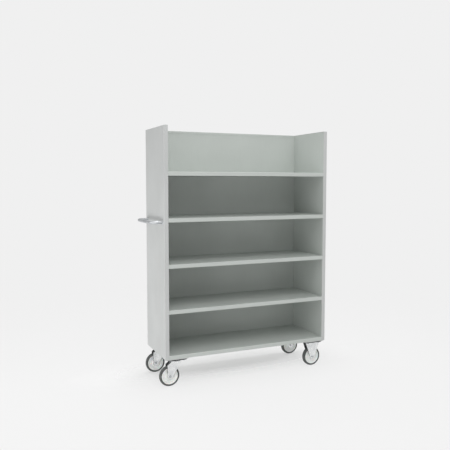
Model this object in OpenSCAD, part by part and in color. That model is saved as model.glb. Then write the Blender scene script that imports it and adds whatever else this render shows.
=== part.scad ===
// Mobile steel book cart: five lipped shelves between two box-section end panels,
// a bow handle on the left end, two swivel casters on the left and two fixed ones on the right.
// The origin is on the floor under the middle of the whole cart. +X runs along the shelves
// away from the handle, the open front faces -Y, and +Z is up.

/* [Carcass] */
// Width over the two end panels, in mm
carcass_w = 1112; // [900:1:1300]
// Depth from the shelf lips to the rear edges of the end panels
carcass_d = 372; // [340:1:420]
// Height of the end panels
carcass_h = 1380; // [1360:1:1500]
// Thickness of one box-section end panel
panel_t = 25; // [24:1:30]
// Thickness of the sheet steel
sheet_t = 1.5; // [1.2:0.1:1.6]

/* [Shelves] */
// Height from one shelf surface to the next
shelf_pitch = 272; // [240:1:272]
// Height of the folded shelf lip
lip_h = 24; // [23:1:28]
// Width of the return under the lip
lip_return = 14; // [10:1:16]

/* [Handle] */
// Outer diameter of the handle tube
handle_od = 20; // [18:1:22]
// Distance from the end panel to the middle of the grip
handle_reach = 65; // [60:1:80]
// Height of the handle above the bottom edge of the carcass
handle_z = 816; // [780:1:850]

/* [Casters] */
// Height from the floor to the bottom edge of the carcass
caster_h = 170; // [168:1:190]
// Wheel diameter
wheel_od = 125; // [115:1:127]
// Width of the tyre
tyre_w = 26; // [25:1:31]
// Length of the top plate along the cart
plate_l = 118; // [112:1:122]
// Width of the top plate across the cart
plate_w = 78; // [78:1:82]
// Distance from the swivel axis back to the axle
trail = 42; // [36:1:46]

/* [Hidden] */
$fn = 64;

shelf_names = ["bottom", "second", "third", "fourth", "top"];
swivel_names = ["front_left", "rear_left"];
fixed_names = ["front_right", "rear_right"];

carcass_nodes = ["left_panel_skin", "left_panel_liner", "right_panel_skin", "right_panel_liner",
    "back_panel", "shelf_screws", "back_rivets", "left_caster_channel", "right_caster_channel"];
handle_nodes = ["push_handle", "handle_rosettes", "handle_backing_plates", "handle_screws"];
swivel_parts = ["top_plate", "race_balls", "king_pin", "fork"];
fixed_parts = ["bracket"];
wheel_parts = ["axle_bolt", "axle_nut", "axle_sleeve", "rim", "tyre", "bearings"];

paint = "#c6cbc6";
paint_shade = "#b4bab5";
zinc = "#cfd3d6";
steel_dark = "#8c9194";
rim_white = "#e4e6e5";
rubber_grey = "#6c706f";

// Carcass places, measured from its front left bottom corner
handle_out = handle_reach + handle_od / 2;
carcass_x = (handle_out - carcass_w) / 2;
bend_r = 2.5;
seam = 0.2;
bottom_shelf_z = lip_h;
shelf_gap = 0.3;
shelf_x = panel_t + shelf_gap;
shelf_l = carcass_w - 2 * shelf_x;
back_recess = 2;
shelf_d = carcass_d - back_recess - sheet_t;
hem_h = 14;
liner_flange = 10;
end_flange_inset = 4;
stiffener_w = 56;
stiffener_h = 17;
stiffener_flange = 12;
stiffener_t = 1.2;

// Fixings
screw_r = 3;
screw_clear = 0.2;
screw_from_edge = 60;
screw_below_top = 13;
rivet_r = 2.4;
rivet_count = 5;
rivet_below_top = 12;
m8_r = 4;
m8_hole_r = 4.2;
m8_flats = 13;
m8_head_h = 5.3;
m8_nut_h = 6.5;
nut_room_r = 8.5;

// Handle
handle_bend_r = 40;
handle_wall = 2;
handle_plug = 20;
handle_from_edge = 35;
rosette_r = 15;
rosette_t = 2;
backing_t = 3;
backing_size = [40, 60];

// Casters, measured from the top of the plate on the swivel axis, downwards
channel_t = 4;
channel_x = 12;
channel_w = 134;
channel_end = 3;
channel_wall_x = [27, 142];
caster_inset_x = 79;
caster_inset_y = 4 + plate_w / 2;
plate_t = 5;
plate_corner_r = 8;
bolt_dx = 40;
bolt_dy = 29;
race_r = 31;
race_t = 4;
race_gap = 3;
ball_r = 3;
ball_ring_r = 25;
ball_count = 18;
groove_r = 3.4;
fork_t = 3;
fork_half = 20;
fork_bend_r = 6;
crown_top = -plate_t - race_t - race_gap;
axle_z = channel_t + wheel_od / 2 - caster_h;
king_r = 6;
king_head_r = 10;
king_head_h = 4;
running = 0.05;
eye_r = 15;
rim_r = wheel_od / 2 - 12.5;
rim_half = 12;
web_half = 7;
hub_r = 20;
hub_half = fork_half - fork_t - 0.5;
bearing_r = 14;
bearing_w = 8;
sleeve_r = 6;

function shelf_top(i) = bottom_shelf_z + i * shelf_pitch;

// ---------- general shapes ----------

// A rectangle with round corners, from the origin into the first quadrant
module round_rect(size, r) {
    translate([r, 0]) square([size[0] - 2 * r, size[1]]);
    translate([0, r]) square([size[0], size[1] - 2 * r]);
    for (x = [r, size[0] - r], y = [r, size[1] - r]) translate([x, y]) circle(r);
}

// Sweeps a section drawn in Y and Z along +X
module along_x(length) {
    rotate([90, 0, 90]) linear_extrude(length) children();
}

// Sweeps a section drawn in X and Z along +Y, from y = start
module along_y(start, length) {
    translate([0, start + length, 0]) rotate([90, 0, 0]) linear_extrude(length) children();
}

module hexagon(across_flats, h) {
    cylinder(h = h, d = across_flats / cos(30), $fn = 6);
}

module hex_nut(across_flats, h, hole_r) {
    difference() {
        hexagon(across_flats, h);
        translate([0, 0, -1]) cylinder(h = h + 2, r = hole_r);
    }
}

module in_carcass() {
    translate([carcass_x, -carcass_d / 2, caster_h]) children();
}

// Copies a left-hand carcass shape to the right-hand end
module right_end() {
    translate([carcass_w, 0, 0]) mirror([1, 0, 0]) children();
}

// ---------- end panels ----------

// A folded tray: outer face at x = 0, with four flanges turned in to x = depth
module tray_solid(depth, d, h, r) {
    intersection() {
        linear_extrude(h) {
            translate([0, r]) square([depth, d - 2 * r]);
            translate([r, 0]) square([depth - r, d]);
            for (y = [r, d - r]) translate([r, y]) circle(r);
        }
        along_y(0, d) {
            translate([0, r]) square([depth, h - 2 * r]);
            translate([r, 0]) square([depth - r, h]);
            for (z = [r, h - r]) translate([r, z]) circle(r);
        }
    }
}

module panel_skin() {
    difference() {
        tray_solid(panel_t, carcass_d, carcass_h, bend_r);
        translate([sheet_t, sheet_t, sheet_t])
            tray_solid(panel_t, carcass_d - 2 * sheet_t, carcass_h - 2 * sheet_t, bend_r - sheet_t);
    }
}

module panel_liner() {
    edge = sheet_t + seam;
    difference() {
        translate([0, 0, edge]) linear_extrude(carcass_h - 2 * edge) difference() {
            translate([panel_t - sheet_t - liner_flange, edge])
                square([sheet_t + liner_flange, carcass_d - 2 * edge]);
            translate([-1, edge + sheet_t])
                square([1 + panel_t - sheet_t, carcass_d - 2 * (edge + sheet_t)]);
        }
        for (i = [0:4]) shelf_screw_axes(i) translate([0, 0, -panel_t])
            cylinder(h = 2 * panel_t, r = screw_r + screw_clear);
    }
}

module left_panel_skin() {
    color(paint) in_carcass() difference() {
        panel_skin();
        handle_axes() translate([0, 0, -sheet_t]) cylinder(h = 3 * sheet_t, r = m8_hole_r);
    }
}

module left_panel_liner() { color(paint_shade) in_carcass() panel_liner(); }
module right_panel_skin() { color(paint) in_carcass() right_end() panel_skin(); }
module right_panel_liner() { color(paint_shade) in_carcass() right_end() panel_liner(); }

// ---------- back panel ----------

// Places for the blind rivets, with +Z of each pointing to the rear
module rivet_axes(i) {
    for (k = [0:rivet_count - 1])
        translate([shelf_x + shelf_l * (k + 0.5) / rivet_count,
                   carcass_d - back_recess, shelf_top(i) - rivet_below_top])
            rotate([-90, 0, 0]) children();
}

module back_panel() {
    color(paint_shade) in_carcass() difference() {
        union() {
            translate([shelf_x, shelf_d, 0]) cube([shelf_l, sheet_t, carcass_h]);
            translate([shelf_x, shelf_d - sheet_t, carcass_h - hem_h])
                cube([shelf_l, 2 * sheet_t, hem_h - bend_r]);
            translate([0, shelf_d, carcass_h - sheet_t])
                translate([shelf_x, 0, 0]) rotate([0, 90, 0]) cylinder(h = shelf_l, r = sheet_t);
            translate([shelf_x, shelf_d - sheet_t, carcass_h - 2 * bend_r])
                cube([shelf_l, 2 * sheet_t, 2 * bend_r - sheet_t]);
        }
        for (i = [0:4]) rivet_axes(i) translate([0, 0, -2 * sheet_t])
            cylinder(h = 4 * sheet_t, r = rivet_r + running);
    }
}

module back_rivets() {
    color(paint) in_carcass() for (i = [0:4]) rivet_axes(i) {
        translate([0, 0, -7]) cylinder(h = 7.4, r = rivet_r);
        translate([0, 0, -7]) cylinder(h = 7 - 2 * sheet_t, r = 3.2);
        cylinder(h = 0.9, r1 = 4.6, r2 = 3.4);
    }
}

// ---------- shelves ----------

// Places for the screws through one shelf's end flange, with +Z of each pointing into the panel
module shelf_screw_axes(i) {
    for (y = [screw_from_edge, shelf_d - screw_from_edge])
        translate([shelf_x + sheet_t, y, shelf_top(i) - screw_below_top])
            rotate([0, -90, 0]) children();
}

module shelf_section() {
    difference() {
        translate([0, -lip_h]) round_rect([shelf_d, lip_h], bend_r);
        translate([sheet_t, sheet_t - lip_h])
            round_rect([shelf_d - 2 * sheet_t, lip_h - 2 * sheet_t], bend_r - sheet_t);
        translate([lip_return, -lip_h - 1]) square([shelf_d - 2 * lip_return, lip_h / 2]);
    }
}

// Room for the caster nuts where they stand above the bottom shelf's returns
module caster_nut_room() {
    for (left = [true, false], front = [true, false]) at_corner(left, front) bolt_axes()
        translate([0, 0, -1]) cylinder(h = m8_nut_h + 2, r = nut_room_r);
}

module shelf(i) {
    color(paint) in_carcass() difference() {
        translate([shelf_x, 0, shelf_top(i)]) {
            along_x(shelf_l) shelf_section();
            for (x = [0, shelf_l - sheet_t])
                translate([x, end_flange_inset, sheet_t - lip_h])
                    cube([sheet_t, shelf_d - 2 * end_flange_inset, lip_h - 1.5 * sheet_t]);
        }
        shelf_screw_axes(i) translate([0, 0, -3]) cylinder(h = 8, r = screw_r + screw_clear);
        right_end() shelf_screw_axes(i) translate([0, 0, -3]) cylinder(h = 8, r = screw_r + screw_clear);
        rivet_axes(i) translate([0, 0, -8]) cylinder(h = 12, r = rivet_r + running);
        if (i == 0) caster_nut_room();
    }
}

// A hat section that stops the shelf from sagging, spot-welded under its middle
module stiffener(i) {
    end_gap = i == 0 ? channel_x + channel_w + 8 : 60;
    length = carcass_w - 2 * end_gap;
    color(paint_shade) in_carcass()
        translate([end_gap, shelf_d / 2, shelf_top(i) - sheet_t]) along_x(length) {
            difference() {
                translate([-stiffener_w / 2, -stiffener_h]) square([stiffener_w, stiffener_h]);
                translate([stiffener_t - stiffener_w / 2, stiffener_t - stiffener_h])
                    square([stiffener_w - 2 * stiffener_t, stiffener_h]);
            }
            for (y = [-stiffener_w / 2 - stiffener_flange, stiffener_w / 2 - stiffener_t])
                translate([y, -stiffener_t]) square([stiffener_flange + stiffener_t, stiffener_t]);
        }
}

module shelf_screw() {
    shank = 12;
    nut_h = 4;
    translate([0, 0, -3]) cylinder(h = 3, r1 = 4.2, r2 = 5.5);
    cylinder(h = shank, r = screw_r);
    translate([0, 0, 2 * sheet_t + shelf_gap]) hex_nut(10, nut_h, screw_r + running);
}

module shelf_screws() {
    color(zinc) in_carcass() for (i = [0:4]) {
        shelf_screw_axes(i) shelf_screw();
        right_end() shelf_screw_axes(i) shelf_screw();
    }
}

// ---------- caster channels ----------

module caster_channel() {
    wall_start = lip_return + 2;
    difference() {
        union() {
            translate([channel_x, channel_end, -channel_t])
                cube([channel_w, carcass_d - 2 * channel_end, channel_t]);
            for (x = channel_wall_x) translate([x, wall_start, -channel_t])
                cube([channel_t, shelf_d - 2 * wall_start, lip_h - sheet_t + channel_t - 0.5]);
        }
        for (front = [true, false]) at_corner(true, front) bolt_axes()
            translate([0, 0, -2 * channel_t]) cylinder(h = 3 * channel_t, r = m8_hole_r);
        shelf_screw_axes(0) translate([0, 0, -8]) cylinder(h = 10, r = 7);
    }
}

module left_caster_channel() { color(paint) in_carcass() caster_channel(); }
module right_caster_channel() { color(paint) in_carcass() right_end() caster_channel(); }

// ---------- handle ----------

// The two handle fixings on the left panel, with +Z of each pointing out of the panel
module handle_axes() {
    for (y = [handle_from_edge, carcass_d - handle_from_edge])
        translate([0, y, handle_z]) rotate([0, -90, 0]) children();
}

// The bent tube's outline at one radius; first is where its arms start, out from the panel
module handle_bar(r, first) {
    arm = handle_reach - handle_bend_r;
    span = carcass_d - 2 * handle_from_edge;
    handle_axes() translate([0, 0, first]) cylinder(h = arm - first, r = r);
    translate([-arm, handle_from_edge + handle_bend_r, handle_z]) {
        rotate([0, 0, 180]) rotate_extrude(angle = 90) translate([handle_bend_r, 0]) circle(r);
        translate([0, span - 2 * handle_bend_r, 0]) rotate([0, 0, 90])
            rotate_extrude(angle = 90) translate([handle_bend_r, 0]) circle(r);
        translate([-handle_bend_r, 0, 0]) rotate([-90, 0, 0])
            cylinder(h = span - 2 * handle_bend_r, r = r);
    }
}

module push_handle() {
    color(zinc) in_carcass() difference() {
        handle_bar(handle_od / 2, rosette_t);
        handle_bar(handle_od / 2 - handle_wall, handle_plug);
        handle_axes() cylinder(h = handle_plug, r = m8_r + running);
    }
}

module handle_rosettes() {
    color(zinc) in_carcass() handle_axes() difference() {
        union() {
            cylinder(h = rosette_t / 2, r = rosette_r);
            translate([0, 0, rosette_t / 2]) cylinder(h = rosette_t / 2, r1 = rosette_r, r2 = rosette_r - 1);
        }
        translate([0, 0, -1]) cylinder(h = rosette_t + 2, r = m8_hole_r);
    }
}

module handle_backing_plates() {
    color(steel_dark) in_carcass() handle_axes() difference() {
        translate([-backing_size[1] / 2, -backing_size[0] / 2, -sheet_t - backing_t])
            cube([backing_size[1], backing_size[0], backing_t]);
        translate([0, 0, -sheet_t - backing_t - 1]) cylinder(h = backing_t + 2, r = m8_hole_r);
    }
}

module handle_screws() {
    head_z = -sheet_t - backing_t;
    color(zinc) in_carcass() handle_axes() {
        translate([0, 0, head_z - m8_head_h]) hexagon(m8_flats, m8_head_h);
        translate([0, 0, head_z]) cylinder(h = handle_plug - 2 - head_z, r = m8_r);
    }
}

// ---------- casters ----------

module bolt_axes() {
    for (x = [-bolt_dx, bolt_dx], y = [-bolt_dy, bolt_dy]) translate([x, y, 0]) children();
}

// Moves a shape to a caster's place on the carcass
module at_corner(left, front) {
    x = left ? caster_inset_x : carcass_w - caster_inset_x;
    y = front ? caster_inset_y : carcass_d - caster_inset_y;
    translate([x, y, 0]) children();
}

// Moves a caster shape to its corner; the top of its plate is the local origin
module at_caster(left, front) {
    in_carcass() at_corner(left, front) translate([0, 0, -channel_t]) children();
}

module every_caster() {
    for (left = [true, false], front = [true, false]) at_caster(left, front) children();
}

module caster_bolts() {
    shank_top = channel_t + m8_nut_h + 2;
    color(zinc) every_caster() bolt_axes() {
        translate([0, 0, -plate_t - m8_head_h]) hexagon(m8_flats, m8_head_h);
        translate([0, 0, -plate_t]) cylinder(h = plate_t + shank_top, r = m8_r);
    }
}

module caster_nuts() {
    washer_t = 1.6;
    color(zinc) every_caster() bolt_axes() translate([0, 0, channel_t]) {
        translate([0, 0, washer_t]) hex_nut(m8_flats, m8_nut_h - washer_t, m8_r + running);
        difference() {
            cylinder(h = washer_t, r = 7);
            translate([0, 0, -1]) cylinder(h = washer_t + 2, r = m8_hole_r);
        }
    }
}

module plate_blank() {
    translate([-plate_l / 2, -plate_w / 2, -plate_t]) linear_extrude(plate_t)
        round_rect([plate_l, plate_w], plate_corner_r);
}

module plate_bolt_holes() {
    bolt_axes() translate([0, 0, -plate_t - 1]) cylinder(h = plate_t + 2, r = m8_hole_r);
}

// The ring-shaped groove that the swivel balls run in
module ball_groove() {
    translate([0, 0, crown_top + race_gap / 2])
        rotate_extrude() translate([ball_ring_r, 0]) circle(groove_r);
}

module top_plate() {
    color(zinc) difference() {
        union() {
            plate_blank();
            translate([0, 0, -plate_t - race_t]) cylinder(h = race_t, r = race_r);
        }
        plate_bolt_holes();
        ball_groove();
        translate([0, 0, -plate_t - race_t - 1]) cylinder(h = plate_t + race_t + 2, r = king_r);
    }
}

module race_balls() {
    color(steel_dark) for (k = [0:ball_count - 1])
        rotate([0, 0, k * 360 / ball_count])
            translate([ball_ring_r, 0, crown_top + race_gap / 2]) sphere(ball_r);
}

module king_pin() {
    head_z = crown_top - fork_t - 0.3 - king_head_h;
    color(steel_dark) {
        translate([0, 0, head_z]) cylinder(h = -head_z, r = king_r);
        translate([0, 0, head_z]) cylinder(h = king_head_h, r1 = king_head_r - 1, r2 = king_head_r);
    }
}

// The inverted U that both kinds of fork are pressed from, open downwards
module fork_section(top_z) {
    h = top_z - axle_z + eye_r + 1;
    difference() {
        translate([-fork_half, top_z - h]) round_rect([2 * fork_half, h], fork_bend_r);
        translate([fork_t - fork_half, top_z - fork_t - h])
            round_rect([2 * (fork_half - fork_t), h], fork_bend_r - fork_t);
    }
}

// Side view of a fork's legs: an eye round the axle and an outline down to it
module leg_outline(axle_x, points) {
    translate([axle_x, axle_z]) circle(eye_r);
    polygon(points);
}

module fork_legs(top_z, axle_x, points) {
    eye_top = axle_z + eye_r / 3;
    intersection() {
        translate([-plate_l, 0, 0]) along_x(2 * plate_l) fork_section(top_z);
        along_y(-fork_half - 1, 2 * fork_half + 2)
            leg_outline(axle_x, concat(points,
                [[axle_x + eye_r * cos(asin(1 / 3)), eye_top], [axle_x, axle_z],
                 [axle_x - eye_r * cos(asin(1 / 3)), eye_top]]));
    }
}

module axle_hole(axle_x) {
    translate([axle_x, -fork_half - 1, axle_z]) rotate([-90, 0, 0])
        cylinder(h = 2 * fork_half + 2, r = m8_r + 0.1);
}

module fork() {
    crown_half = 28;
    shoulder_z = crown_top - 22;
    color(zinc) difference() {
        union() {
            translate([0, 0, crown_top - fork_t]) cylinder(h = fork_t, r = race_r);
            fork_legs(crown_top, -trail, [[-trail - eye_r, shoulder_z], [-crown_half, crown_top - 2],
                [-crown_half, crown_top], [crown_half, crown_top], [crown_half, crown_top - 6]]);
        }
        ball_groove();
        translate([0, 0, crown_top - fork_t - 1]) cylinder(h = fork_t + 2, r = king_r + running);
        axle_hole(-trail);
    }
}

module bracket() {
    top_half = 50;
    color(zinc) difference() {
        union() {
            plate_blank();
            fork_legs(-plate_t + 1, 0, [[-top_half, -plate_t - 4], [-top_half, -plate_t + 1],
                [top_half, -plate_t + 1], [top_half, -plate_t - 4]]);
        }
        plate_bolt_holes();
        axle_hole(0);
    }
}

// ---------- wheels, drawn round the axle, which lies along Y ----------

module at_axle(axle_x) {
    translate([axle_x, 0, axle_z]) rotate([-90, 0, 0]) children();
}

module axle_bolt() {
    thread_end = 8.5;
    color(zinc) {
        translate([0, 0, -fork_half - m8_head_h]) hexagon(m8_flats, m8_head_h);
        translate([0, 0, -fork_half]) cylinder(h = 2 * fork_half + thread_end, r = m8_r);
    }
}

module axle_nut() {
    color(zinc) translate([0, 0, fork_half]) hex_nut(m8_flats, m8_nut_h, m8_r + running);
}

module axle_sleeve() {
    half = fork_half - fork_t;
    color(steel_dark) translate([0, 0, -half]) difference() {
        cylinder(h = 2 * half, r = sleeve_r);
        translate([0, 0, -1]) cylinder(h = 2 * half + 2, r = m8_r + 0.15);
    }
}

// A ring turned about the axle: radii from r1 to r2, half-width half, rounded at the corners
module turned_ring(r1, r2, half, corner) {
    rotate_extrude() translate([r1, -half]) round_rect([r2 - r1, 2 * half], corner);
}

module rim() {
    rib_r = 34;
    color(rim_white) difference() {
        union() {
            turned_ring(bearing_r - 6, rim_r - 2, web_half, 0.5);
            turned_ring(rim_r - 8, rim_r, rim_half, 1);
            turned_ring(rib_r - 2, rib_r + 2, web_half + 1.5, 1.2);
            turned_ring(bearing_r - 6, hub_r, hub_half, 1.5);
        }
        translate([0, 0, -hub_half - 1]) cylinder(h = 2 * hub_half + 2, r = sleeve_r + 3);
        for (side = [0, 180]) rotate([side, 0, 0]) translate([0, 0, hub_half - bearing_w])
            cylinder(h = bearing_w + 1, r = bearing_r);
    }
}

module tyre() {
    shoulder = 6;
    bead = 2;
    color(rubber_grey) rotate_extrude() {
        translate([rim_r, bead - tyre_w / 2]) square([wheel_od / 2 - rim_r - shoulder, tyre_w - 2 * bead]);
        translate([rim_r + bead, -tyre_w / 2])
            square([wheel_od / 2 - rim_r - bead - shoulder, tyre_w]);
        translate([rim_r + bead, shoulder - tyre_w / 2])
            square([wheel_od / 2 - rim_r - bead, tyre_w - 2 * shoulder]);
        for (y = [shoulder - tyre_w / 2, tyre_w / 2 - shoulder])
            translate([wheel_od / 2 - shoulder, y]) circle(shoulder);
        for (y = [bead - tyre_w / 2, tyre_w / 2 - bead]) translate([rim_r + bead, y]) circle(bead);
    }
}

module bearings() {
    shield_sink = 0.8;
    color(steel_dark) for (side = [0, 180]) rotate([side, 0, 0])
        translate([0, 0, hub_half - bearing_w]) difference() {
            cylinder(h = bearing_w, r = bearing_r);
            translate([0, 0, -1]) cylinder(h = bearing_w + 2, r = sleeve_r + running);
            translate([0, 0, bearing_w - shield_sink]) difference() {
                cylinder(h = 2, r = bearing_r - 2);
                translate([0, 0, -1]) cylinder(h = 4, r = sleeve_r + 2);
            }
        }
}

// ---------- assembly ----------

module wheel_part(p, axle_x) {
    at_axle(axle_x) {
        if (p == "axle_bolt") axle_bolt();
        if (p == "axle_nut") axle_nut();
        if (p == "axle_sleeve") axle_sleeve();
        if (p == "rim") rim();
        if (p == "tyre") tyre();
        if (p == "bearings") bearings();
    }
}

module swivel_part(p, front) {
    at_caster(true, front) {
        if (p == "top_plate") top_plate();
        if (p == "race_balls") race_balls();
        if (p == "king_pin") king_pin();
        if (p == "fork") fork();
        wheel_part(p, -trail);
    }
}

module fixed_part(p, front) {
    at_caster(false, front) {
        if (p == "bracket") bracket();
        wheel_part(p, 0);
    }
}

left_panel_skin();
left_panel_liner();
right_panel_skin();
right_panel_liner();
back_panel();
shelf_screws();
back_rivets();
left_caster_channel();
right_caster_channel();
for (i = [0:4]) shelf(i);
for (i = [0:4]) stiffener(i);
push_handle();
handle_rosettes();
handle_backing_plates();
handle_screws();
caster_bolts();
caster_nuts();
for (c = [0, 1], p = concat(swivel_parts, wheel_parts))
    swivel_part(p, c == 0);
for (c = [0, 1], p = concat(fixed_parts, wheel_parts))
    fixed_part(p, c == 0);
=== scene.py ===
import math

import bmesh
import bpy
from mathutils import Matrix, Vector


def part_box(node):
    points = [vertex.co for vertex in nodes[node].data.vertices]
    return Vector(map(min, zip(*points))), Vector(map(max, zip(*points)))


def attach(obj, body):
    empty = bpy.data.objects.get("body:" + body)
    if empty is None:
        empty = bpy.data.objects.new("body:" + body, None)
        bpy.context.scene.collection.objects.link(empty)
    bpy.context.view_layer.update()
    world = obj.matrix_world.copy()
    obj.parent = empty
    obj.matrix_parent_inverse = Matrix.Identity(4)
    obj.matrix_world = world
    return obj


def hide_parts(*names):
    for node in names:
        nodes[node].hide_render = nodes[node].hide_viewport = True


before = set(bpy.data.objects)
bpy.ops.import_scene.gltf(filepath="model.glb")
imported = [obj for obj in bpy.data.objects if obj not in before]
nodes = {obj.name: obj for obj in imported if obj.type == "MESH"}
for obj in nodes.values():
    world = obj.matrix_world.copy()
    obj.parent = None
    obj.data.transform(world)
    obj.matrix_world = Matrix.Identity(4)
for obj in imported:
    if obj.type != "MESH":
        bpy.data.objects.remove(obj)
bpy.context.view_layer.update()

# ---------- camera ----------
# Eye level just under the top shelf, off the handle end, looking slightly down.

eye = (-1.547, -3.368, 1.215)
eye_pitch = 4.156
eye_turn = 23.944

camera = bpy.data.objects.new("camera", bpy.data.cameras.new("camera"))
camera.data.lens = 46.0
camera.data.sensor_width = 36.0
camera.data.clip_end = 200.0
camera.location = eye
camera.rotation_euler = (math.radians(90 - eye_pitch), 0, -math.radians(eye_turn))
bpy.context.scene.collection.objects.link(camera)
bpy.context.scene.camera = camera

# ---------- painted carcass ----------
# Panels, back, shelves, stiffeners and caster channels are 1.5 mm sheet steel, folded on a press
# brake and powder-coated light grey. Folds and sheared edges are softly round under the coat,
# which is satin, with a fine orange peel and faint rub marks.

MM = 0.001
coat_colour = "BDC2BE"
coat_shade = "B9BEBA"
# the outer skins are a touch more neutral than the rest
skin_colour = "BEC0BF"
skin_shade = "BABCBB"
rubbed_colour = "A2A8A4"
# the rounded edge strips are a touch lighter than the coat
edge_colour = "C4C9C5"
sheet_edge = 0.45


def linear(colour):
    """An sRGB hex colour as linear red, green, blue and alpha."""
    parts = [int(colour[i:i + 2], 16) / 255 for i in (0, 2, 4)]
    return [c / 12.92 if c <= 0.04045 else ((c + 0.055) / 1.055) ** 2.4 for c in parts] + [1.0]


def add(tree, kind, inputs=(), **settings):
    """Adds a node: settings are its properties, inputs are values or links for its sockets."""
    made = tree.nodes.new(kind)
    for name, value in settings.items():
        setattr(made, name, value)
    for name, value in dict(inputs).items():
        if isinstance(value, bpy.types.NodeSocket):
            tree.links.new(value, made.inputs[name])
        else:
            made.inputs[name].default_value = value
    return made


def new_material(name, **sockets):
    """A material with its shader's own sockets set: also gives its tree, shader and Object coordinates."""
    material = bpy.data.materials.new(name)
    material.use_nodes = True
    tree = material.node_tree
    shader = tree.nodes["Principled BSDF"]
    for socket, value in sockets.items():
        shader.inputs[socket.replace("_", " ")].default_value = value
    return material, tree, shader, add(tree, "ShaderNodeTexCoord").outputs["Object"]


def grain(tree, place, size, detail=2.0, stretch=(1, 1, 1)):
    """Noise whose blotches are about size mm across, longer along an axis where stretch is under 1."""
    laid = add(tree, "ShaderNodeMapping", {"Vector": place, "Scale": stretch})
    return add(tree, "ShaderNodeTexNoise", {"Vector": laid.outputs["Vector"], "Scale": 1 / (size * MM),
                                            "Detail": detail}).outputs["Fac"]


def spread(tree, value, low, high, start=0.35, end=0.65):
    """Maps a noise value from its usual range to low .. high."""
    return add(tree, "ShaderNodeMapRange", {"Value": value, "From Min": start, "From Max": end,
                                            "To Min": low, "To Max": high}).outputs["Result"]


def blend_colours(tree, factor, first, second):
    """Mixes two colours, each a hex value or a link."""
    mix = add(tree, "ShaderNodeMix", data_type="RGBA")
    tree.links.new(factor, mix.inputs[0])
    for socket, colour in ((mix.inputs[6], first), (mix.inputs[7], second)):
        if isinstance(colour, str):
            socket.default_value = linear(colour)
        else:
            tree.links.new(colour, socket)
    return mix.outputs[2]


def bump(tree, shader, height, strength, depth):
    """Raises the surface by a height value, depth mm at most."""
    made = add(tree, "ShaderNodeBump", {"Height": height, "Strength": strength, "Distance": depth * MM})
    tree.links.new(made.outputs["Normal"], shader.inputs["Normal"])


def powder_coat(name, colour, shade, rub_stretch):
    """Satin polyester powder coat; rub marks run the way that books and hands slide over the sheet."""
    material, tree, shader, place = new_material(name, IOR=1.5)
    # orange peel is 1 to 2 mm across on the real coat, drawn at 3 mm so that it shows
    peel = grain(tree, place, 3)
    cloud = grain(tree, place, 240, 3.0)
    rub = spread(tree, grain(tree, place, 6, 6.0, rub_stretch), 0.0, 0.12, 0.56, 0.76)
    tone = blend_colours(tree, spread(tree, cloud, 0.0, 1.0), colour, shade)
    tree.links.new(blend_colours(tree, rub, tone, rubbed_colour), shader.inputs["Base Color"])
    tree.links.new(spread(tree, cloud, 0.40, 0.50), shader.inputs["Roughness"])
    bump(tree, shader, peel, 0.15, 0.25)
    return material


def show(piece, body, stands_for, materials):
    """Links a finished piece, lets it ride its body, and hides the CAD nodes that it stands for."""
    for material in materials:
        piece.data.materials.append(material)
    bpy.context.scene.collection.objects.link(piece)
    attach(piece, body)
    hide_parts(*stands_for)
    return piece


def soften_edges(piece, width, material=-1):
    """Rounds a piece's sharp edges by width mm, and gives the round strips a material slot."""
    rounding = piece.modifiers.new("soft edges", "BEVEL")
    rounding.width = width * MM
    rounding.segments = 2
    rounding.limit_method = "ANGLE"
    rounding.angle_limit = math.radians(40)
    rounding.use_clamp_overlap = True
    rounding.material = material
    for face in piece.data.polygons:
        face.use_smooth = True
    flat = piece.modifiers.new("flat faces", "WEIGHTED_NORMAL")
    flat.keep_sharp = True


def pressed_copy(node, body, materials, width, edge_slot=-1):
    """A finished piece with a CAD node's shape and round edges, with its loose triangles joined."""
    mesh = bmesh.new()
    mesh.from_mesh(nodes[node].data)
    bmesh.ops.remove_doubles(mesh, verts=mesh.verts, dist=0.002 * MM)
    bmesh.ops.dissolve_limit(mesh, angle_limit=math.radians(1), verts=mesh.verts, edges=mesh.edges)
    data = bpy.data.meshes.new(node + "_finished")
    mesh.to_mesh(data)
    mesh.free()
    piece = bpy.data.objects.new(node + "_finished", data)
    show(piece, body, [node], materials)
    soften_edges(piece, width, edge_slot)
    return piece


skin_coat = powder_coat("powder coat on outer skins", skin_colour, skin_shade, (1, 1, 0.06))
panel_coat = powder_coat("powder coat on inner panels", coat_colour, coat_shade, (1, 1, 0.06))
shelf_coat = powder_coat("powder coat on shelves", coat_colour, coat_shade, (0.5, 0.06, 1))
edge_coat = powder_coat("powder coat, lighter on rounded edges", edge_colour, coat_colour, (1, 1, 1))
rivet_edge = 0.3
shelf_names = ["bottom", "second", "third", "fourth", "top"]

for node in ["left_panel_skin", "right_panel_skin", "left_caster_channel", "right_caster_channel"]:
    pressed_copy(node, "cart", [skin_coat, edge_coat], sheet_edge, 1)
for node in ["left_panel_liner", "right_panel_liner", "back_panel"]:
    pressed_copy(node, "cart", [panel_coat, edge_coat], sheet_edge, 1)
for shelf in shelf_names:
    pressed_copy(shelf + "_shelf", "cart", [shelf_coat, edge_coat], sheet_edge, 1)
    pressed_copy(shelf + "_stiffener", "cart", [shelf_coat, edge_coat], sheet_edge, 1)
pressed_copy("back_rivets", "cart", [panel_coat], rivet_edge)

# ---------- shelf screws ----------
# Each shelf hangs on four M6 machine screws, zinc plated, with a recess in the head. They run
# through the shelf's end flange and the panel's liner into a hexagon weld nut.

screw_head_r = 5.4
screw_head_h = 3.0
screw_socket_r = 1.9
screw_socket_depth = 1.6
screw_r = 3.0
screw_length = 12.0
screw_pitch = 1.0
screw_from_edge = 60.0
screw_below_top = 13.0
sheet_t = 1.5
weld_nut_flats = 10.0
weld_nut_h = 4.0
weld_nut_gap = 3.3


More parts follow.
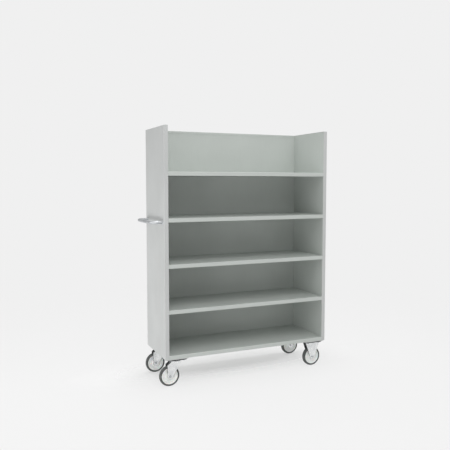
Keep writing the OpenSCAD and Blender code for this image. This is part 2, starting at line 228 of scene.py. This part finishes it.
def worked_metal(name, colour, shade, roughness, size):
    """A plated or bare metal: its tint and gloss drift a little, and faint scratches run front to back."""
    material, tree, shader, place = new_material(name, Metallic=1.0)
    cloud = grain(tree, place, size, 3.0)
    scratch = grain(tree, place, 1.2, 3.0, (1, 0.1, 1))
    tone = blend_colours(tree, spread(tree, cloud, 0.0, 1.0), colour, shade)
    fine = spread(tree, scratch, 0.0, 0.3, 0.5, 0.75)
    tree.links.new(blend_colours(tree, fine, tone, shade), shader.inputs["Base Color"])
    tree.links.new(spread(tree, cloud, roughness, roughness + 0.12), shader.inputs["Roughness"])
    bump(tree, shader, scratch, 0.1, 0.05)
    return material


def corners(node):
    """The lowest and highest corners of a CAD node, in mm."""
    return [Vector(corner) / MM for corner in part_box(node)]


def middle(node):
    """The middle of a CAD node's box, in mm."""
    low, high = corners(node)
    return (low + high) / 2


def turn(mesh, outline, centre, axis, loop=False, steps=48):
    """Spins an outline of (radius, distance along the axis) a full turn, all in mm."""
    axis = Vector(axis).normalized()
    side = axis.orthogonal().normalized()
    points = [mesh.verts.new(Vector(centre) + side * r + axis * a) for r, a in outline]
    following = points[1:] + points[:1] if loop else points[1:]
    edges = [mesh.edges.new(pair) for pair in zip(points, following)]
    bmesh.ops.spin(mesh, geom=points + edges, cent=centre, axis=axis, angle=2 * math.pi,
                   steps=steps, use_merge=True)
    poles = [v for v in mesh.verts if v.is_valid and (v.co - Vector(centre)).cross(axis).length < 0.0001]
    bmesh.ops.remove_doubles(mesh, verts=poles, dist=0.0001)


def thread(start, end, radius, pitch, depth=0.5):
    """Outline of a screw thread drawn as rings, from start to a chamfered tip at end."""
    points = [(radius, start)]
    for k in range(int((end - start - pitch) / pitch)):
        points += [(radius - depth, start + (k + 0.5) * pitch), (radius, start + (k + 1) * pitch)]
    return points + [(radius, end - depth), (radius - 1.2 * depth, end), (0, end)]


def hexagon(mesh, flats, height, foot, axis):
    """A hexagon head or nut in mm, standing on foot along axis, with its outer corners chamfered."""
    axis = Vector(axis).normalized()
    aim = Vector((0, 0, 1)).rotation_difference(axis).to_matrix().to_4x4()
    place = Matrix.Translation(foot) @ aim @ Matrix.Translation((0, 0, height / 2))
    radius = flats / math.sqrt(3)
    made = bmesh.ops.create_cone(mesh, cap_ends=True, segments=6, radius1=radius, radius2=radius,
                                 depth=height, matrix=place)
    rim = {e for v in made["verts"] for e in v.link_edges
           if all((p.co - Vector(foot)).dot(axis) > 0.9 * height for p in e.verts)}
    bmesh.ops.bevel(mesh, geom=list(rim), offset=0.08 * flats, offset_type="OFFSET", affect="EDGES",
                    segments=1, profile=0.5, material=-1)


def finish_piece(mesh, name, body, stands_for, materials, edge=0.0):
    """Makes a piece from a bmesh drawn in mm in the cart's frame, with its faces outwards."""
    bmesh.ops.recalc_face_normals(mesh, faces=mesh.faces)
    bmesh.ops.scale(mesh, vec=(MM, MM, MM), verts=mesh.verts)
    data = bpy.data.meshes.new(name)
    mesh.to_mesh(data)
    mesh.free()
    piece = bpy.data.objects.new(name, data)
    show(piece, body, stands_for, materials)
    if edge:
        soften_edges(piece, edge)
    else:
        data.shade_smooth()
        data.set_sharp_from_angle(angle=math.radians(35))
    return piece


fixing_zinc = worked_metal("bright zinc on fixings", "C4C7C9", "A9ADB0", 0.22, 9)

mesh = bmesh.new()
for shelf in shelf_names:
    low, high = corners(shelf + "_shelf")
    for y in (low.y + screw_from_edge, high.y - screw_from_edge + 0.5 * sheet_t):
        for end, outward in ((low.x + sheet_t, -1), (high.x - sheet_t, 1)):
            seat = Vector((end, y, high.z - screw_below_top))
            axis = Vector((outward, 0, 0))
            socket_floor = screw_socket_depth - screw_head_h
            head = [(0, socket_floor), (screw_socket_r, socket_floor), (screw_socket_r + 0.4, -screw_head_h),
                    (screw_head_r - 0.4, -screw_head_h), (screw_head_r, -screw_head_h + 0.4),
                    (screw_r + 1.0, -0.1)]
            turn(mesh, head + thread(0, screw_length, screw_r, screw_pitch, 0.4), seat, axis, steps=20)
            hexagon(mesh, weld_nut_flats, weld_nut_h, seat + axis * weld_nut_gap, axis)
finish_piece(mesh, "shelf_machine_screws", "cart", ["shelf_screws"], [fixing_zinc])

# ---------- push handle ----------
# A 20 mm round steel tube bent to a bow, brushed and satin zinc plated. Its ends are plugged and
# stand on turned rosettes; two M8 screws reach them from plates inside the panel.

handle_r = 10.0
handle_bend = 40.0
tube_steps = 48
bend_steps = 12
rosette_r = 15.0
rosette_t = 2.0


def brushed_tube(name):
    """Satin zinc over brushed steel, dulled by hands: fine lines run round the grip and along the arms."""
    material, tree, shader, place = new_material(name, Metallic=1.0)
    lines = grain(tree, place, 0.9, 4.0, (0.12, 1, 0.12))
    cloud = grain(tree, place, 35, 3.0)
    tone = blend_colours(tree, spread(tree, cloud, 0.0, 1.0), "CED0D2", "BBBEC0")
    tree.links.new(tone, shader.inputs["Base Color"])
    tree.links.new(spread(tree, lines, 0.44, 0.58), shader.inputs["Roughness"])
    bump(tree, shader, lines, 0.2, 0.06)
    return material


tube_finish = brushed_tube("satin zinc on brushed tube")
low, high = corners("push_handle")
height = (low.z + high.z) / 2
grip_x = low.x + handle_r
arm_front = low.y + handle_r
arm_back = high.y - handle_r

mesh = bmesh.new()
bmesh.ops.create_circle(mesh, cap_ends=False, segments=tube_steps, radius=handle_r,
                        matrix=Matrix.Translation((high.x, arm_front, height))
                        @ Matrix.Rotation(math.radians(90), 4, "Y"))


def draw_out(mesh, edges, move):
    """Extrudes an open ring of edges by a move, and gives the new ring."""
    made = bmesh.ops.extrude_edge_only(mesh, edges=edges)["geom"]
    bmesh.ops.translate(mesh, vec=move, verts=[v for v in made if isinstance(v, bmesh.types.BMVert)])
    return [e for e in made if isinstance(e, bmesh.types.BMEdge) and len(e.link_faces) == 1]


def bend_round(mesh, edges, centre):
    """Carries an open ring of edges a quarter turn clockwise about a vertical axis."""
    made = bmesh.ops.spin(mesh, geom=edges, cent=centre, axis=(0, 0, 1), angle=-math.radians(90),
                          steps=bend_steps)["geom_last"]
    return [e for e in made if isinstance(e, bmesh.types.BMEdge)]


bend_x = grip_x + handle_bend
rim = draw_out(mesh, list(mesh.edges), (bend_x - high.x, 0, 0))
rim = bend_round(mesh, rim, (bend_x, arm_front + handle_bend, height))
rim = draw_out(mesh, rim, (0, arm_back - arm_front - 2 * handle_bend, 0))
rim = bend_round(mesh, rim, (bend_x, arm_back - handle_bend, height))
draw_out(mesh, rim, (high.x - bend_x, 0, 0))
bmesh.ops.holes_fill(mesh, edges=[e for e in mesh.edges if e.is_boundary], sides=tube_steps)
finish_piece(mesh, "handle_tube", "cart", ["push_handle"], [tube_finish])

panel_x = corners("handle_rosettes")[1].x
mesh = bmesh.new()
for y in (arm_front, arm_back):
    turn(mesh, [(handle_r - 3, 0), (rosette_r, 0), (rosette_r, 0.7), (rosette_r - 0.6, 1.4),
                (rosette_r - 1.6, rosette_t), (handle_r + 1.2, rosette_t), (handle_r + 0.6, rosette_t + 0.5),
                (handle_r - 3, rosette_t + 0.5)], (panel_x, y, height), (-1, 0, 0), loop=True)
finish_piece(mesh, "turned_rosettes", "cart", ["handle_rosettes"], [tube_finish])

plain_steel = worked_metal("oiled mild steel", "8E9295", "75797C", 0.4, 14)
pressed_copy("handle_backing_plates", "cart", [plain_steel], 0.5)

bolt_r = 4.0
bolt_flats = 13.0
bolt_head_h = 5.3
bolt_pitch = 1.25
bolt_face_r = 5.98
bolt_face_t = 0.4
handle_bolt_shank = 6.5


def bolt(mesh, under_head, axis, length, grip):
    """An M8 hexagon bolt: head behind under_head, plain shank over the grip, then thread to the tip."""
    axis = Vector(axis)
    foot = Vector(under_head)
    hexagon(mesh, bolt_flats, bolt_head_h - bolt_face_t, foot - axis * bolt_face_t, -axis)
    turn(mesh, [(bolt_r, -bolt_face_t - 0.1), (bolt_face_r, -bolt_face_t - 0.1), (bolt_face_r, 0),
                (bolt_r, 0)], foot, axis, loop=True, steps=32)
    turn(mesh, [(0, -bolt_face_t), (bolt_r, -bolt_face_t)] + thread(grip, length, bolt_r, bolt_pitch),
         foot, axis, steps=24)


low, high = corners("handle_screws")
mesh = bmesh.new()
for y in (arm_front, arm_back):
    seat = Vector((high.x - bolt_head_h, y, height))
    bolt(mesh, seat, (-1, 0, 0), seat.x - low.x, handle_bolt_shank)
finish_piece(mesh, "handle_fixing_screws", "cart", ["handle_screws"], [fixing_zinc])

# ---------- caster bolts and nuts ----------
# Sixteen M8 hexagon bolts clamp the four caster plates to the channels from below. Each has a
# plain washer and a hexagon nut inside the channel.

bolt_dx = 40.0
bolt_dy = 29.0
plate_bolt_shank = 9.0
nut_bore_r = 4.1
washer_r = 7.0
washer_t = 1.6
plate_of = {"front_left": "front_left_top_plate", "rear_left": "rear_left_top_plate",
            "front_right": "front_right_bracket", "rear_right": "rear_right_bracket"}


def plate_top(corner):
    """The middle of the top face of one caster's plate, which is the swivel axis on a swivel caster."""
    low, high = corners(plate_of[corner])
    return Vector(((low.x + high.x) / 2, (low.y + high.y) / 2, high.z))


bolt_places = [plate_top(corner) + Vector((dx, dy, 0)) for corner in plate_of
               for dx in (-bolt_dx, bolt_dx) for dy in (-bolt_dy, bolt_dy)]
bolt_low, bolt_high = corners("caster_bolts")
nut_low, nut_high = corners("caster_nuts")

mesh = bmesh.new()
for place in bolt_places:
    seat = Vector((place.x, place.y, bolt_low.z + bolt_head_h))
    bolt(mesh, seat, (0, 0, 1), bolt_high.z - seat.z, plate_bolt_shank)
finish_piece(mesh, "plate_bolts", "cart", ["caster_bolts"], [fixing_zinc])

mesh = bmesh.new()
for place in bolt_places:
    foot = Vector((place.x, place.y, nut_low.z))
    turn(mesh, [(nut_bore_r, 0), (washer_r - 0.3, 0), (washer_r, 0.3), (washer_r, washer_t - 0.3),
                (washer_r - 0.3, washer_t), (nut_bore_r, washer_t)], foot, (0, 0, 1), loop=True, steps=32)
    hexagon(mesh, bolt_flats, nut_high.z - nut_low.z - washer_t, foot + Vector((0, 0, washer_t)), (0, 0, 1))
finish_piece(mesh, "plate_nuts_and_washers", "cart", ["caster_nuts"], [fixing_zinc])

# ---------- top plates, king pins and race ----------
# A 5 mm plate carries the upper ball race, and the king pin is riveted up through plate and fork.
# The plates are blanked and bright zinc plated; their upright edges are coloured near-black, as painted shade
# and dark reflection.

pressed_zinc = worked_metal("bright zinc on pressings", "F4F5F5", "E2E4E5", 0.2, 22)
# near-black colour that paints shade and dark reflection on plate edges and fork flanges
painted_dark_edge = worked_metal("near-black painted shade and reflection on edges", "141516", "0A0B0B", 0.45, 6)
turned_steel = worked_metal("turned steel", "8B8F92", "6F7376", 0.25, 5)
ball_steel = worked_metal("polished ball steel", "B4B7B9", "A5A8AA", 0.08, 2)
plate_size = (118.0, 78.0)
plate_t = 5.0
plate_corner = 8.0
plate_edge = 0.35
race_r = 31.0
race_t = 4.0
ball_ring_r = 25.0
groove = 3.4
king_r = 6.0


def cover(node, material):
    """Gives a CAD node a material, in place of the plain one that it comes with."""
    for slot in nodes[node].material_slots:
        slot.material = material


def darken_edges(mesh, top):
    """Gives slot 1, the near-black painted shade and reflection, to the upright faces of a plate whose top
    face is at top.
    """
    mesh.normal_update()
    for face in mesh.faces:
        if abs(face.normal.z) < 0.3 and top.z - plate_t < face.calc_center_median().z < top.z:
            face.material_index = 1


def plate_blank(mesh, top):
    """The flat plate of a caster with round corners; top is the middle of its top face."""
    place = Matrix.Translation(top - Vector((0, 0, plate_t / 2)))
    made = bmesh.ops.create_cube(mesh, size=1.0, matrix=place @ Matrix.Diagonal((*plate_size, plate_t, 1)))
    upright = {e for v in made["verts"] for e in v.link_edges
               if abs(e.verts[0].co.z - e.verts[1].co.z) > 0.5 * plate_t}
    bmesh.ops.bevel(mesh, geom=list(upright), offset=plate_corner, offset_type="OFFSET", affect="EDGES",
                    segments=6, profile=0.5, material=-1)


for corner in ("front_left", "rear_left"):
    top = plate_top(corner)
    mesh = bmesh.new()
    plate_blank(mesh, top)
    darken_edges(mesh, top)
    turn(mesh, [(king_r + 0.3, -plate_t + 0.2), (race_r + 2, -plate_t + 0.2), (race_r + 2, -plate_t - 0.2),
                (race_r + 0.6, -plate_t - 1.4), (race_r, -plate_t - race_t + 0.8),
                (race_r - 0.8, -plate_t - race_t), (ball_ring_r + groove, -plate_t - race_t),
                (ball_ring_r, -plate_t - race_t + groove * 0.6), (ball_ring_r - groove, -plate_t - race_t),
                (king_r + 0.3, -plate_t - race_t)], top, (0, 0, 1), loop=True)
    finish_piece(mesh, corner + "_plate_and_race", "cart", [corner + "_top_plate"],
                 [pressed_zinc, painted_dark_edge], plate_edge)
    low, high = corners(corner + "_king_pin")
    pin = Vector((top.x, top.y, low.z))
    mesh = bmesh.new()
    turn(mesh, [(0, 0.5), (2.2, 0), (7.4, 0), (8.8, 0.6), (9.8, 2.0), (10, 4.0), (king_r, 4.0),
                (king_r, high.z - low.z), (0, high.z - low.z)], pin, (0, 0, 1))
    finish_piece(mesh, corner + "_rivet_pin", "cart",
                 [corner + "_king_pin"], [turned_steel])
    cover(corner + "_race_balls", ball_steel)

# ---------- forks and fixed brackets ----------
# Each is pressed from 3 mm sheet: two legs, with a flange turned in along their edges for
# stiffness, which meet over the wheel in a crown or are welded under a plate.
# The flanges are coloured near-black, as painted shade and dark reflection.

fork_half = 20.0
fork_t = 3.0
flange = 4.2
eye_r = 15.0
crown_half = 28.0
crown_drop = 12.0
crown_lip = 6.0
leg_shoulder = 22.0
bracket_half = 50.0
bracket_lip = 5.0
eye_steps = 14
press_bend = 0.9


def leg_face(mesh, y, axle, top_points):
    """One leg's outline as a face at y: down one side, round the axle eye and up the other."""
    left, right = top_points
    eye_middle = Vector((axle.x, 0, axle.z))

    def tangent_angle(point, sign):
        away = Vector((point[0], 0, point[1])) - eye_middle
        lean = math.acos(eye_r / away.length)
        return math.atan2(away.z, away.x) + sign * lean

    start, end = tangent_angle(left[-1], 1), tangent_angle(right[0], -1)
    if start < 0:
        start += 2 * math.pi
    end += 2 * math.pi if end < start else 0
    arc = [start + (end - start) * k / eye_steps for k in range(eye_steps + 1)]
    outline = list(left)
    outline += [(eye_middle.x + eye_r * math.cos(a), eye_middle.z + eye_r * math.sin(a)) for a in arc]
    outline += list(right)
    return mesh.faces.new([mesh.verts.new((x, y, z)) for x, z in outline])


def pressed_leg(mesh, side, middle_y, top_z, axle, top_points):
    """A leg with a flange turned in along its free edges; side is -1 for the near leg, 1 for the far."""
    y = middle_y + side * (fork_half - fork_t / 2)
    face = leg_face(mesh, y, axle, top_points)
    top = [e for e in face.edges if all(v.co.z > top_z - 0.01 for v in e.verts)]
    free = [e for e in face.edges if e not in top]
    made = bmesh.ops.extrude_edge_only(mesh, edges=free)["geom"]
    bmesh.ops.translate(mesh, vec=(0, -side * flange, 0),
                        verts=[v for v in made if isinstance(v, bmesh.types.BMVert)])
    rim_faces = [f for f in made if isinstance(f, bmesh.types.BMFace)]
    return face, top, rim_faces


def pressed_pair(mesh, middle_y, top_z, axle, top_points):
    """Both legs and the crown sheet that joins their tops; the flanges take material slot 1, the near-black
    painted shade and reflection.
    """
    tops = []
    for side in (-1, 1):
        face, top, rim_faces = pressed_leg(mesh, side, middle_y, top_z, axle, top_points)
        tops += top
        for rim_face in rim_faces:
            rim_face.material_index = 1
    bmesh.ops.bridge_loops(mesh, edges=tops)


def press_from_sheet(mesh, name, body, stands_for):
    """Gives the drawn sheet its 3 mm thickness and round bends."""
    piece = finish_piece(mesh, name, body, stands_for, [pressed_zinc, painted_dark_edge])
    wall = piece.modifiers.new("sheet thickness", "SOLIDIFY")
    wall.thickness = fork_t * MM
    wall.offset = 0.0
    wall.use_even_offset = True
    soften_edges(piece, press_bend)


for corner in ("front_left", "rear_left"):
    top = plate_top(corner)
    axle = middle(corner + "_tyre")
    crown_z = top.z - crown_drop - fork_t / 2
    left = [(top.x - crown_half, crown_z), (axle.x - eye_r, crown_z - leg_shoulder)]
    right = [(top.x + crown_half, crown_z - crown_lip), (top.x + crown_half, crown_z)]
    mesh = bmesh.new()
    pressed_pair(mesh, top.y, crown_z, axle, (left, right))
    press_from_sheet(mesh, corner + "_pressed_fork", corner + "_swivel",
                     [corner + "_fork"])
    mesh = bmesh.new()
    turn(mesh, [(king_r + 0.4, -crown_drop), (ball_ring_r - groove, -crown_drop),
                (ball_ring_r, -crown_drop - groove * 0.6), (ball_ring_r + groove, -crown_drop),
                (race_r - 0.8, -crown_drop), (race_r, -crown_drop - 0.8), (race_r, -crown_drop - 3.4),
                (race_r - 1.2, -crown_drop - 4.4), (race_r - 3, -crown_drop - 4.6),
                (king_r + 0.4, -crown_drop - fork_t)], top, (0, 0, 1), loop=True)
    finish_piece(mesh, corner + "_lower_race", corner + "_swivel", [], [pressed_zinc], 0.3)

for corner in ("front_right", "rear_right"):
    top = plate_top(corner)
    axle = middle(corner + "_tyre")
    under = top.z - plate_t + 0.5
    left = [(top.x - bracket_half, under), (top.x - bracket_half, under - bracket_lip)]
    right = [(top.x + bracket_half, under - bracket_lip), (top.x + bracket_half, under)]
    mesh = bmesh.new()
    pressed_pair(mesh, top.y, under, axle, (left, right))
    press_from_sheet(mesh, corner + "_pressed_legs", "cart", [corner + "_bracket"])
    mesh = bmesh.new()
    plate_blank(mesh, top)
    darken_edges(mesh, top)
    finish_piece(mesh, corner + "_plate", "cart", [], [pressed_zinc, painted_dark_edge],
                 plate_edge)

# ---------- wheels ----------
# A polypropylene wheel centre is moulded in one piece and a grey rubber tyre is moulded on to it.
# Two ball bearings press into the hub, and an M8 bolt clamps their sleeve between the fork's legs.

wheel_r = 62.5
rim_r = 50.0
hub_half = 16.5
bearing_r = 14.0
bearing_w = 8.0
seal_inner_r = 8.2
seal_outer_r = 12.0
seal_sunk = 0.9
sleeve_r = 6.0
sleeve_bore_r = 4.15
nut_washer_r = 6.9
nut_washer_t = 0.4
nut_collar_h = 1.4


def moulded_plastic(name):
    """Natural off-white polypropylene: waxy and faintly mottled, with a fine grain from the mould."""
    material, tree, shader, place = new_material(name, IOR=1.49, Subsurface_Weight=0.08,
                                                 Subsurface_Scale=0.004)
    cloud = grain(tree, place, 30, 3.0)
    fine = grain(tree, place, 1.5, 2.0)
    tree.links.new(blend_colours(tree, spread(tree, cloud, 0.0, 1.0), "EDEFED", "E3E5E3"),
                   shader.inputs["Base Color"])
    tree.links.new(spread(tree, fine, 0.32, 0.45), shader.inputs["Roughness"])
    bump(tree, shader, fine, 0.1, 0.08)
    return material


def moulded_rubber(name):
    """Grey non-marking rubber: matt, slightly chalky, with a pebbled moulded skin and floor dust."""
    material, tree, shader, place = new_material(name, IOR=1.52)
    pebble = grain(tree, place, 1.4, 2.0)
    dust = grain(tree, place, 26, 5.0)
    tree.links.new(blend_colours(tree, spread(tree, dust, 0.0, 1.0, 0.45, 0.7), "4B4E4D", "616462"),
                   shader.inputs["Base Color"])
    tree.links.new(spread(tree, dust, 0.6, 0.8), shader.inputs["Roughness"])
    bump(tree, shader, pebble, 0.35, 0.3)
    return material


rim_plastic = moulded_plastic("polypropylene")
tyre_rubber = moulded_rubber("grey rubber")
bearing_steel = worked_metal("ground bearing steel", "A8ABAD", "8F9295", 0.14, 3)
shield_steel = worked_metal("bearing shield", "6C6F72", "585B5E", 0.35, 4)

# one half of each outline, from the middle plane outwards, as (radius, distance from the middle)
tyre_side = [(rim_r, 0), (rim_r, 10.4), (50.6, 12.2), (52.4, 13.0), (55.0, 13.0), (55.4, 12.5), (56.4, 12.5),
             (57.4, 12.2), (59.2, 11.2), (60.6, 9.8), (61.6, 7.8), (62.2, 5.0), (62.4, 4.2), (61.9, 3.9),
             (61.9, 3.1), (62.45, 2.8), (wheel_r, 0.5), (wheel_r, 0)]
rim_side = [(8.5, hub_half - bearing_w - 0.6), (bearing_r, hub_half - bearing_w - 0.6),
            (bearing_r, hub_half - 0.4), (bearing_r + 0.4, hub_half), (18.4, hub_half), (19.4, 15.8),
            (20.0, 14.6), (20.6, 10.0), (21.6, 8.2), (23.4, 7.2), (30.6, 6.9), (31.4, 7.4), (31.9, 8.3),
            (32.8, 8.7), (35.2, 8.7), (36.1, 8.3), (36.6, 7.4), (37.4, 7.0), (40.6, 7.2), (42.2, 8.0),
            (43.0, 9.6), (43.4, 11.2), (44.2, 11.9), (49.2, 12.0), (49.9, 11.5), (rim_r - 0.05, 10.6)]


def both_halves(half_outline):
    """A ring's whole outline, from one half and its mirror image."""
    return half_outline + [(r, -a) for r, a in reversed(half_outline) if a > 0]


for corner in plate_of:
    wheel_body = corner + "_wheel"
    fork_body = corner + "_swivel" if corner.endswith("left") else "cart"
    axle = middle(corner + "_tyre")

    mesh = bmesh.new()
    turn(mesh, both_halves(tyre_side), axle, (0, 1, 0), loop=True, steps=96)
    finish_piece(mesh, corner + "_rubber_tyre", wheel_body, [corner + "_tyre"],
                 [tyre_rubber])

    mesh = bmesh.new()
    turn(mesh, both_halves(rim_side), axle, (0, 1, 0), loop=True, steps=96)
    finish_piece(mesh, corner + "_wheel_centre", wheel_body, [corner + "_rim"],
                 [rim_plastic])

    mesh = bmesh.new()
    for side in (-1, 1):
        face = axle + Vector((0, side * (hub_half - bearing_w), 0))
        turn(mesh, [(sleeve_r + 0.1, 0), (bearing_r - 0.1, 0), (bearing_r - 0.1, bearing_w - 0.4),
                    (bearing_r - 0.5, bearing_w), (seal_outer_r + 0.2, bearing_w),
                    (seal_outer_r, bearing_w - seal_sunk), (seal_inner_r, bearing_w - seal_sunk),
                    (seal_inner_r - 0.2, bearing_w), (sleeve_r + 0.3, bearing_w),
                    (sleeve_r + 0.1, bearing_w - 0.3)], face, (0, side, 0), loop=True)
    mesh.normal_update()
    for ring_face in mesh.faces:
        radius = (ring_face.calc_center_median() - axle).xz.length
        if abs(ring_face.normal.y) > 0.9 and seal_inner_r < radius < seal_outer_r:
            ring_face.material_index = 1
    finish_piece(mesh, corner + "_ball_bearings", wheel_body, [corner + "_bearings"],
                 [bearing_steel, shield_steel])

    low, high = corners(corner + "_axle_bolt")
    mesh = bmesh.new()
    seat = Vector((axle.x, low.y + bolt_head_h, axle.z))
    bolt(mesh, seat, (0, 1, 0), high.y - seat.y, 2 * fork_half)
    finish_piece(mesh, corner + "_wheel_axle", fork_body, [corner + "_axle_bolt"],
                 [fixing_zinc])

    low, high = corners(corner + "_axle_nut")
    mesh = bmesh.new()
    foot = Vector((axle.x, low.y, axle.z))
    nut_h = high.y - low.y
    turn(mesh, [(nut_bore_r, 0), (nut_washer_r, 0), (nut_washer_r, nut_washer_t), (nut_bore_r, nut_washer_t)],
         foot, (0, 1, 0), loop=True, steps=32)
    hexagon(mesh, bolt_flats, nut_h - nut_washer_t - nut_collar_h, foot + Vector((0, nut_washer_t, 0)),
            (0, 1, 0))
    turn(mesh, [(nut_bore_r, 4.8), (5.9, 4.8), (5.8, 5.9), (5.2, nut_h), (nut_bore_r, nut_h)],
         foot, (0, 1, 0), loop=True, steps=32)
    finish_piece(mesh, corner + "_lock_nut", fork_body, [corner + "_axle_nut"], [fixing_zinc])

    low, high = corners(corner + "_axle_sleeve")
    mesh = bmesh.new()
    sleeve_length = high.y - low.y
    turn(mesh, [(sleeve_bore_r, 0), (sleeve_r - 0.4, 0), (sleeve_r, 0.4), (sleeve_r, sleeve_length - 0.4),
                (sleeve_r - 0.4, sleeve_length), (sleeve_bore_r, sleeve_length)],
         Vector((axle.x, low.y, axle.z)), (0, 1, 0), loop=True, steps=32)
    finish_piece(mesh, corner + "_spacer_tube", fork_body, [corner + "_axle_sleeve"],
                 [turned_steel])

# ---------- floor, light and finish ----------
# A pale studio floor that runs out into the background, under a soft sky that is brightest above
# and dim at the horizon, with lamps overhead, in front and to the left. None of it belongs to the cart.

floor_radius = 7.0
backdrop_colour = "F0F0F0"
fade_start = 0.8
fade_end = 3.5
# how much of the backdrop comes through the floor, in rings round the middle of the cart's shadow: least at
# the middle, more outwards, a painted lightening of the shadow away from its middle
shadow_middle = (0.0, 0.15, 0.0)
shadow_reach = (0.75, 0.21, 1.0)
shadow_rings = 3.0
shadow_levels = [(0.0, 0.42), (0.17, 0.46), (0.33, 0.72), (0.5, 0.84), (1.0, 0.86)]
# brightness from straight down, through the horizon, to straight up
sky_levels = [(0.0, 0.8), (0.49, 0.8), (0.51, 0.33), (0.6, 0.36), (0.75, 0.6), (1.0, 1.15)]


def grey_ramp(tree, value, levels):
    """A grey ramp with the given (position, level) stops."""
    ramp = add(tree, "ShaderNodeValToRGB", {"Fac": value})
    stops = ramp.color_ramp.elements
    while len(stops) < len(levels):
        stops.new(0.5)
    for stop, (position, level) in zip(stops, levels):
        stop.position = position
        stop.color = [level, level, level, 1.0]
    return ramp.outputs["Color"]


floor_mesh = bmesh.new()
bmesh.ops.create_circle(floor_mesh, cap_ends=True, segments=96, radius=floor_radius)
floor_data = bpy.data.meshes.new("floor")
floor_mesh.to_mesh(floor_data)
floor_mesh.free()
floor = bpy.data.objects.new("floor", floor_data)
bpy.context.scene.collection.objects.link(floor)
floor_paint, tree, shader, place = new_material("matt studio floor", Roughness=0.9)
shader.inputs["Base Color"].default_value = linear("ECECEC")
shader.inputs["Specular IOR Level"].default_value = 0.1
clear = add(tree, "ShaderNodeBsdfTransparent")
offset = add(tree, "ShaderNodeVectorMath", {0: place, 1: shadow_middle}, operation="SUBTRACT")
squeezed = add(tree, "ShaderNodeVectorMath", {0: offset.outputs["Vector"], 1: shadow_reach},
               operation="DIVIDE")
ring = add(tree, "ShaderNodeVectorMath", {0: squeezed.outputs["Vector"]}, operation="LENGTH")
share = add(tree, "ShaderNodeMapRange", {"Value": ring.outputs["Value"], "From Max": shadow_rings})
softened = add(tree, "ShaderNodeMixShader", {0: grey_ramp(tree, share.outputs["Result"], shadow_levels),
                                             1: shader.outputs["BSDF"], 2: clear.outputs["BSDF"]})
distance = add(tree, "ShaderNodeVectorMath", {0: place}, operation="LENGTH")
fade = add(tree, "ShaderNodeMapRange", {"Value": distance.outputs["Value"], "From Min": fade_start,
                                        "From Max": fade_end}, interpolation_type="SMOOTHSTEP")
run_out = add(tree, "ShaderNodeMixShader", {0: fade.outputs["Result"], 1: softened.outputs["Shader"],
                                            2: clear.outputs["BSDF"]})
tree.links.new(run_out.outputs["Shader"], tree.nodes["Material Output"].inputs["Surface"])
floor_data.materials.append(floor_paint)

world = bpy.data.worlds.new("studio")
bpy.context.scene.world = world
world.use_nodes = True
tree = world.node_tree
for old in list(tree.nodes):
    tree.nodes.remove(old)
seen = add(tree, "ShaderNodeBackground", {"Color": linear(backdrop_colour), "Strength": 1.0})
ray = add(tree, "ShaderNodeLightPath")
way = add(tree, "ShaderNodeSeparateXYZ", {"Vector": add(tree, "ShaderNodeTexCoord").outputs["Generated"]})
rise = add(tree, "ShaderNodeMapRange", {"Value": way.outputs["Z"], "From Min": -1.0, "From Max": 1.0})
lit = add(tree, "ShaderNodeBackground", {"Color": grey_ramp(tree, rise.outputs["Result"], sky_levels),
                                         "Strength": 1.0})
sky = add(tree, "ShaderNodeMixShader", {0: ray.outputs["Is Camera Ray"], 1: lit.outputs["Background"],
                                        2: seen.outputs["Background"]})
add(tree, "ShaderNodeOutputWorld", {"Surface": sky.outputs["Shader"]})


def soft_box(name, place, aim, size, power):
    """A square studio light that the camera doesn't see."""
    light = bpy.data.lights.new(name, "AREA")
    light.size = size
    light.energy = power
    lamp = bpy.data.objects.new(name, light)
    lamp.location = place
    lamp.rotation_euler = (Vector(aim) - Vector(place)).to_track_quat("-Z", "Y").to_euler()
    lamp.visible_camera = False
    bpy.context.scene.collection.objects.link(lamp)


soft_box("overhead", (0.0, 0.1, 7.0), (0, 0, 0), 1.2, 155)
soft_box("front above", (-0.6, -3.2, 3.9), (0, 0, 0.3), 3.0, 62)
soft_box("low left", (-2.6, -1.6, 0.4), (-0.4, 0, 0.3), 1.2, 15)
soft_box("side", (-3.1, 0.0, 0.28), (-0.52, 0, 0.6), 0.5, 16)
bpy.context.scene.view_settings.view_transform = "Standard"
